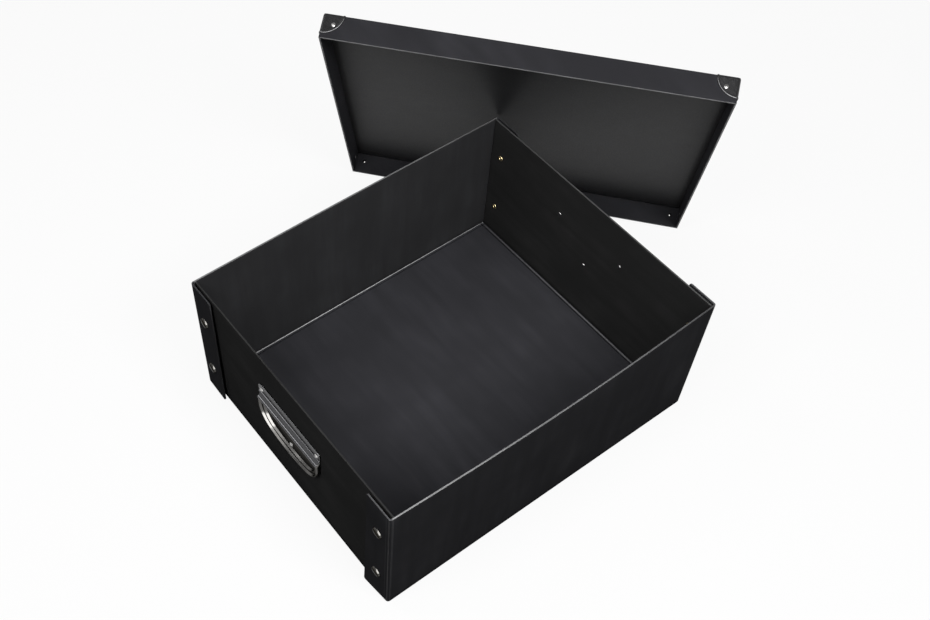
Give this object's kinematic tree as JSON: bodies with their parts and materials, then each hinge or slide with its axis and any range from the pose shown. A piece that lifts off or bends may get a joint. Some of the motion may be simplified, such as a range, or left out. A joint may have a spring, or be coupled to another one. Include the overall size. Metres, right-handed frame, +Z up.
{
  "type": "storage box",
  "caption": "Open cardboard storage box with press-studded corner flaps, a pressed steel finger grip on each end wall and a shallow metal-cornered lid that leans on its corner",
  "frame": {"origin": "centre of the box's underside", "axes": "X across the box to its right wall, Y along it to the rear end wall, Z up"},
  "size_m": [0.5095, 0.599, 0.3237],
  "materials": {
    "black_board": "matte",
    "lid_board": "matte",
    "nickel": "polished",
    "brass": "satin"
  },
  "bodies": {
    "base": {"floor_panel": "black_board", "left_side_wall": "black_board", "right_side_wall": "black_board", "front_left_flap": "black_board", "front_right_flap": "black_board", "rear_left_flap": "black_board", "rear_right_flap": "black_board", "front_left_stud_caps": "nickel", "front_right_stud_caps": "nickel", "rear_left_stud_caps": "nickel", "rear_right_stud_caps": "nickel", "front_left_stud_sockets": "nickel", "front_right_stud_sockets": "nickel", "rear_left_stud_sockets": "nickel", "rear_right_stud_sockets": "nickel"},
    "front_wall": {"front_end_wall": "black_board", "front_finger_plate": "nickel", "front_grip_strip": "nickel", "front_grip_rivets": "nickel", "front_plate_rivet": "nickel", "front_left_stud_posts": "nickel", "front_left_stud_eyelets": "brass", "front_right_stud_posts": "nickel", "front_right_stud_eyelets": "brass"},
    "rear_wall": {"rear_end_wall": "black_board", "rear_finger_plate": "nickel", "rear_grip_strip": "nickel", "rear_grip_rivets": "nickel", "rear_plate_rivet": "nickel", "rear_left_stud_posts": "nickel", "rear_left_stud_eyelets": "brass", "rear_right_stud_posts": "nickel", "rear_right_stud_eyelets": "brass"},
    "lid": {"lid_panel": "lid_board", "lid_left_skirt": "lid_board", "lid_right_skirt": "lid_board", "lid_front_skirt": "lid_board", "lid_rear_skirt": "lid_board", "lid_front_left_corner": "nickel", "lid_front_right_corner": "nickel", "lid_rear_left_corner": "nickel", "lid_rear_right_corner": "nickel", "lid_left_rivets": "nickel", "lid_right_rivets": "nickel", "lid_front_rivets": "nickel", "lid_rear_rivets": "nickel"}
  },
  "joints": [
    {"name": "lid_lift", "type": "slide", "parent": "base", "child": "lid", "axis": [0, 0, 1], "range_m": [0, 0.2]},
    {"name": "front_wall_fold", "type": "hinge", "parent": "base", "child": "front_wall", "pos_m": [0, -0.194, 0.0018], "axis": [-1, 0, 0], "range_deg": [0, 88]},
    {"name": "rear_wall_fold", "type": "hinge", "parent": "base", "child": "rear_wall", "pos_m": [0, 0.194, 0.0018], "axis": [1, 0, 0], "range_deg": [0, 88]}
  ]
}
